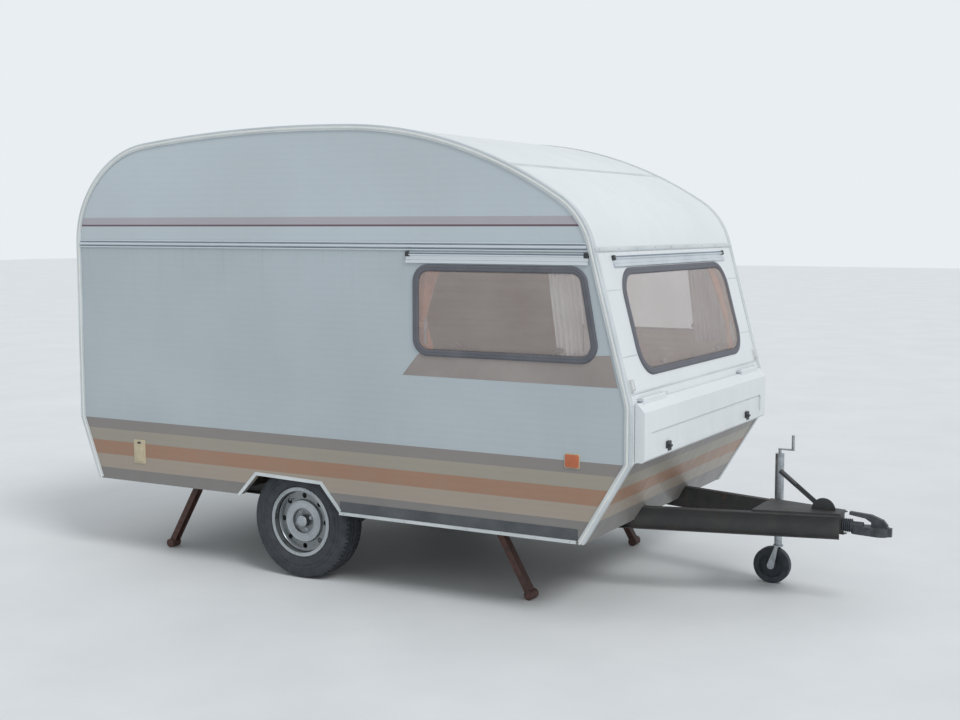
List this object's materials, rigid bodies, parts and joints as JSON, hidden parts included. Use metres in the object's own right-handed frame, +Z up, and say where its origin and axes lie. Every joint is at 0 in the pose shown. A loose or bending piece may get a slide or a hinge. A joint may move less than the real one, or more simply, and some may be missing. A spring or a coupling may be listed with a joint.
{
  "type": "single-axle touring caravan",
  "caption": "Small rigid touring caravan with a rounded roof, raked front, striped sides, side window and A-frame drawbar",
  "frame": {"origin": "on the road, under the middle of the caravan's overall length and width", "axes": "+X forward to the coupling, +Y to the nearside (the door side), +Z up"},
  "size_m": [4.61, 2.03, 2.5254],
  "materials": {
    "body_white": "painted aluminium sheet",
    "underfloor_wood": "treated plywood",
    "furniture_ply": "wood-effect faced ply",
    "chassis_paint": "black paint",
    "axle_paint": "black paint",
    "steady_paint": "red oxide paint",
    "dark_paint": "satin",
    "window_acrylic": "bronze acrylic",
    "seal_rubber": "matte",
    "rail_aluminium": "extruded",
    "amber_lens": "moulded lens",
    "clear_lens": "moulded lens",
    "red_lens": "moulded lens",
    "beige_plastic": "moulded",
    "white_plastic": "moulded",
    "cushion_fabric": "woven",
    "curtain_fabric": "woven",
    "wheel_silver": "silver paint",
    "tyre_rubber": "moulded",
    "cast_metal": "cast",
    "zinc_steel": "zinc plated"
  },
  "bodies": {
    "caravan": {"side_wall_right": "body_white", "side_wall_left": "body_white", "roof": "body_white", "rear_wall": "body_white", "front_wall": "body_white", "floor": "underfloor_wood", "wheel_boxes": "underfloor_wood", "chassis_rails": "chassis_paint", "cross_members": "chassis_paint", "axle_beam": "axle_paint", "stub_arms": "axle_paint", "steady_brackets": "steady_paint", "side_window_panes": "window_acrylic", "side_window_seals": "seal_rubber", "front_window_pane": "window_acrylic", "front_window_seal": "seal_rubber", "rear_window_pane": "window_acrylic", "rear_window_seal": "seal_rubber", "window_hinge_rails": "rail_aluminium", "edge_mouldings": "rail_aluminium", "belt_rails": "rail_aluminium", "sill_rails": "rail_aluminium", "sill_strips": "dark_paint", "arch_trims": "rail_aluminium", "side_reflectors": "amber_lens", "front_markers": "clear_lens", "rear_lamps": "red_lens", "inlet_hatch": "beige_plastic", "roof_vent_base": "white_plastic", "door_trim": "rail_aluminium", "locker_tub": "white_plastic", "locker_hinges": "rail_aluminium", "bench_boxes": "furniture_ply", "bench_cushions": "cushion_fabric", "wardrobe": "furniture_ply", "kitchen_unit": "furniture_ply", "curtains": "curtain_fabric", "drawbar_plate": "chassis_paint", "coupling_head": "cast_metal", "handbrake_lever": "dark_paint", "jockey_tube": "zinc_steel"},
    "wheel_left": {"rim_left": "wheel_silver", "tyre_left": "tyre_rubber", "drum_left": "cast_metal"},
    "wheel_right": {"rim_right": "wheel_silver", "tyre_right": "tyre_rubber", "drum_right": "cast_metal"},
    "door": {"door_leaf": "body_white", "door_window_seal": "seal_rubber", "door_window_pane": "window_acrylic"},
    "locker_lid": {"locker_lid": "body_white"},
    "roof_vent_lid": {"roof_vent_lid": "white_plastic"},
    "steady_left_front": {"steady_left_front": "steady_paint"},
    "steady_left_rear": {"steady_left_rear": "steady_paint"},
    "steady_right_front": {"steady_right_front": "steady_paint"},
    "steady_right_rear": {"steady_right_rear": "steady_paint"},
    "jockey_stem": {"jockey_stem": "zinc_steel"},
    "jockey_fork": {"jockey_fork": "zinc_steel"},
    "jockey_wheel": {"jockey_wheel": "tyre_rubber"}
  },
  "joints": [
    {"name": "wheel_left_spin", "type": "hinge", "parent": "caravan", "child": "wheel_left", "pos_m": [-0.705, 0.862, 0.318], "axis": [0, 1, 0], "continuous": true},
    {"name": "wheel_right_spin", "type": "hinge", "parent": "caravan", "child": "wheel_right", "pos_m": [-0.705, -0.862, 0.318], "axis": [0, 1, 0], "continuous": true},
    {"name": "door_hinge", "type": "hinge", "parent": "caravan", "child": "door", "pos_m": [-1.151, 1.01, 1.35], "axis": [0, 0, -1], "range_deg": [0, 165]},
    {"name": "locker_lid_hinge", "type": "hinge", "parent": "caravan", "child": "locker_lid", "pos_m": [1.301, 0, 1.12], "axis": [0, -1, 0], "range_deg": [0, 90]},
    {"name": "roof_vent_hinge", "type": "hinge", "parent": "caravan", "child": "roof_vent_lid", "pos_m": [-1.37, 0, 2.49543], "axis": [0, -1, 0], "range_deg": [0, 50]},
    {"name": "steady_left_front_fold", "type": "hinge", "parent": "caravan", "child": "steady_left_front", "pos_m": [0.375, 0.7, 0.436], "axis": [0, -1, 0], "range_deg": [0, 58]},
    {"name": "steady_left_rear_fold", "type": "hinge", "parent": "caravan", "child": "steady_left_rear", "pos_m": [-1.605, 0.7, 0.436], "axis": [0, 1, 0], "range_deg": [0, 58]},
    {"name": "steady_right_front_fold", "type": "hinge", "parent": "caravan", "child": "steady_right_front", "pos_m": [0.375, -0.7, 0.436], "axis": [0, -1, 0], "range_deg": [0, 58]},
    {"name": "steady_right_rear_fold", "type": "hinge", "parent": "caravan", "child": "steady_right_rear", "pos_m": [-1.605, -0.7, 0.436], "axis": [0, 1, 0], "range_deg": [0, 58]},
    {"name": "jockey_slide", "type": "slide", "parent": "caravan", "child": "jockey_stem", "axis": [0, 0, 1], "range_m": [0, 0.14]},
    {"name": "jockey_swivel", "type": "hinge", "parent": "jockey_stem", "child": "jockey_fork", "pos_m": [1.645, 0.24957, 0.215], "axis": [0, 0, 1], "continuous": true},
    {"name": "jockey_wheel_spin", "type": "hinge", "parent": "jockey_fork", "child": "jockey_wheel", "pos_m": [1.615, 0.24957, 0.1], "axis": [0, 1, 0], "continuous": true}
  ]
}
